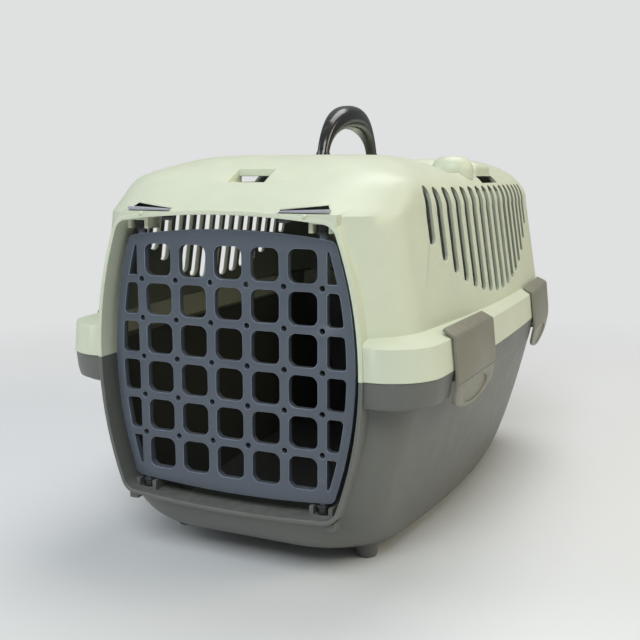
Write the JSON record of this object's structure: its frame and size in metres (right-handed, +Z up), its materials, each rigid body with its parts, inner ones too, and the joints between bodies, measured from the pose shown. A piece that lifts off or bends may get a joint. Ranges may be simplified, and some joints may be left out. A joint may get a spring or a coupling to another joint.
{
  "type": "small animal carrier",
  "caption": "Two-part plastic carrier for a small animal, with a barrel-shaped grille door, vent slits, rocker clips that hold the lid and a folding top handle.",
  "frame": {"origin": "on the floor, under the middle of the carrier's length and width", "axes": "+Z up, the door faces -Y, +X to the right as seen from the front"},
  "size_m": [0.325, 0.48, 0.358],
  "materials": {
    "grey_plastic": "fine moulded grain",
    "green_plastic": "fine moulded grain",
    "dark_grey_plastic": "satin",
    "black_plastic": "satin",
    "lever_plastic": "satin",
    "clip_plastic": "satin",
    "handle_plastic": "glossy",
    "steel": "bright"
  },
  "bodies": {
    "carrier": {"base_shell": "grey_plastic", "lid_shell": "green_plastic", "belt_guide_left": "green_plastic", "belt_guide_right": "green_plastic", "handle_pin_front": "steel", "handle_pin_rear": "steel", "clip_axle_front_left": "steel", "clip_axle_rear_left": "steel", "clip_axle_front_right": "steel", "clip_axle_rear_right": "steel"},
    "door": {"door_grille": "dark_grey_plastic", "door_pin_bottom_left": "black_plastic", "door_pin_bottom_right": "black_plastic", "door_pin_top_left": "black_plastic", "door_pin_top_right": "black_plastic"},
    "lever_left": {"door_lever_left": "lever_plastic"},
    "lever_right": {"door_lever_right": "lever_plastic"},
    "handle": {"handle": "handle_plastic"},
    "clip_front_left": {"clip_front_left": "clip_plastic"},
    "clip_rear_left": {"clip_rear_left": "clip_plastic"},
    "clip_front_right": {"clip_front_right": "clip_plastic"},
    "clip_rear_right": {"clip_rear_right": "clip_plastic"}
  },
  "joints": [
    {"name": "door_hinge", "type": "hinge", "parent": "carrier", "child": "door", "pos_m": [0.07425, -0.2255, 0.159], "axis": [0, 0, 1], "range_deg": [0, 100]},
    {"name": "lever_left_turn", "type": "hinge", "parent": "carrier", "child": "lever_left", "pos_m": [-0.047, -0.2315, 0.2695], "axis": [0, 0, -1], "range_deg": [0, 15]},
    {"name": "lever_right_turn", "type": "hinge", "parent": "carrier", "child": "lever_right", "pos_m": [0.047, -0.2315, 0.2695], "axis": [0, 0, 1], "range_deg": [0, 15]},
    {"name": "handle_fold", "type": "hinge", "parent": "carrier", "child": "handle", "pos_m": [0, 0, 0.3035], "axis": [0, 1, 0], "range_deg": [-80, 80]},
    {"name": "clip_front_left_rock", "type": "hinge", "parent": "carrier", "child": "clip_front_left", "pos_m": [-0.15403, -0.13086, 0.149], "axis": [0.0454, -0.999, 0], "range_deg": [0, 20]},
    {"name": "clip_rear_left_rock", "type": "hinge", "parent": "carrier", "child": "clip_rear_left", "pos_m": [-0.15403, 0.13086, 0.149], "axis": [-0.0454, -0.999, 0], "range_deg": [0, 20]},
    {"name": "clip_front_right_rock", "type": "hinge", "parent": "carrier", "child": "clip_front_right", "pos_m": [0.15403, -0.13086, 0.149], "axis": [0.0454, 0.999, 0], "range_deg": [0, 20]},
    {"name": "clip_rear_right_rock", "type": "hinge", "parent": "carrier", "child": "clip_rear_right", "pos_m": [0.15403, 0.13086, 0.149], "axis": [-0.0454, 0.999, 0], "range_deg": [0, 20]}
  ]
}
